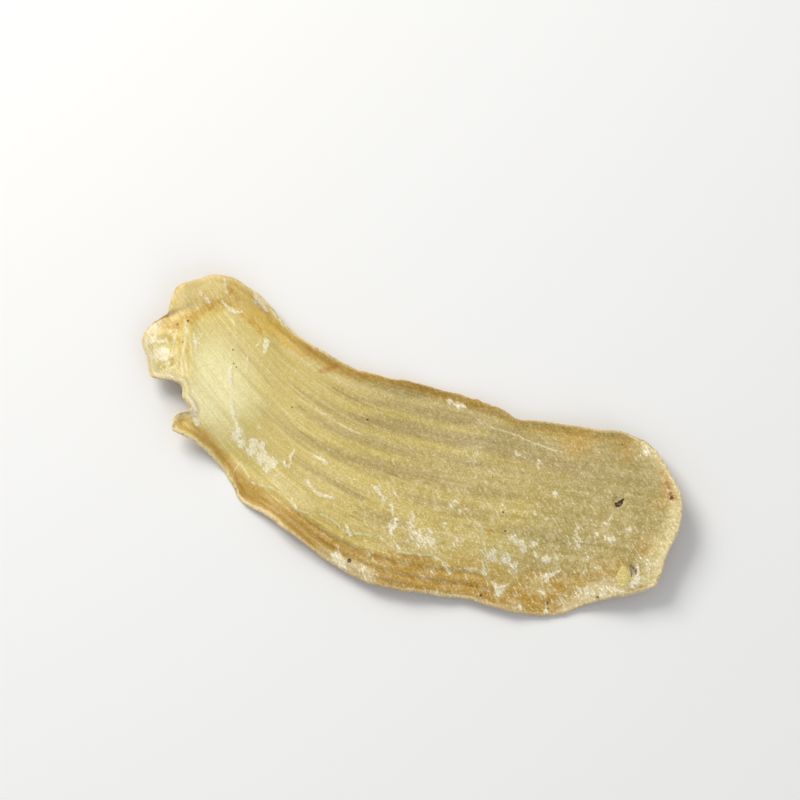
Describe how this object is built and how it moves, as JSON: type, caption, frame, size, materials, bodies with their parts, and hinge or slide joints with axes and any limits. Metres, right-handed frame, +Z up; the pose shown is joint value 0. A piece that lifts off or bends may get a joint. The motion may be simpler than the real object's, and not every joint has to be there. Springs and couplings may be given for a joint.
{
  "type": "dried gastrodia slice",
  "caption": "Thin dried slice of gastrodia root, flared at one end, with a cockled rim and fibre ridges; lies flat on a surface as an ingredient.",
  "frame": {"origin": "middle of the bounding box in plan, on the surface that the slice lies on", "axes": "+X along the slice from the flared end to the rounded end, +Y towards the edge with the upturned lip, +Z up from the surface"},
  "size_m": [0.1201, 0.0512, 0.0067],
  "materials": {
    "dried_flesh": "horny, slightly translucent dried flesh with pale fibres and starch bloom"
  },
  "bodies": {
    "root": {"gastrodia_slice": "dried_flesh"}
  },
  "joints": []
}
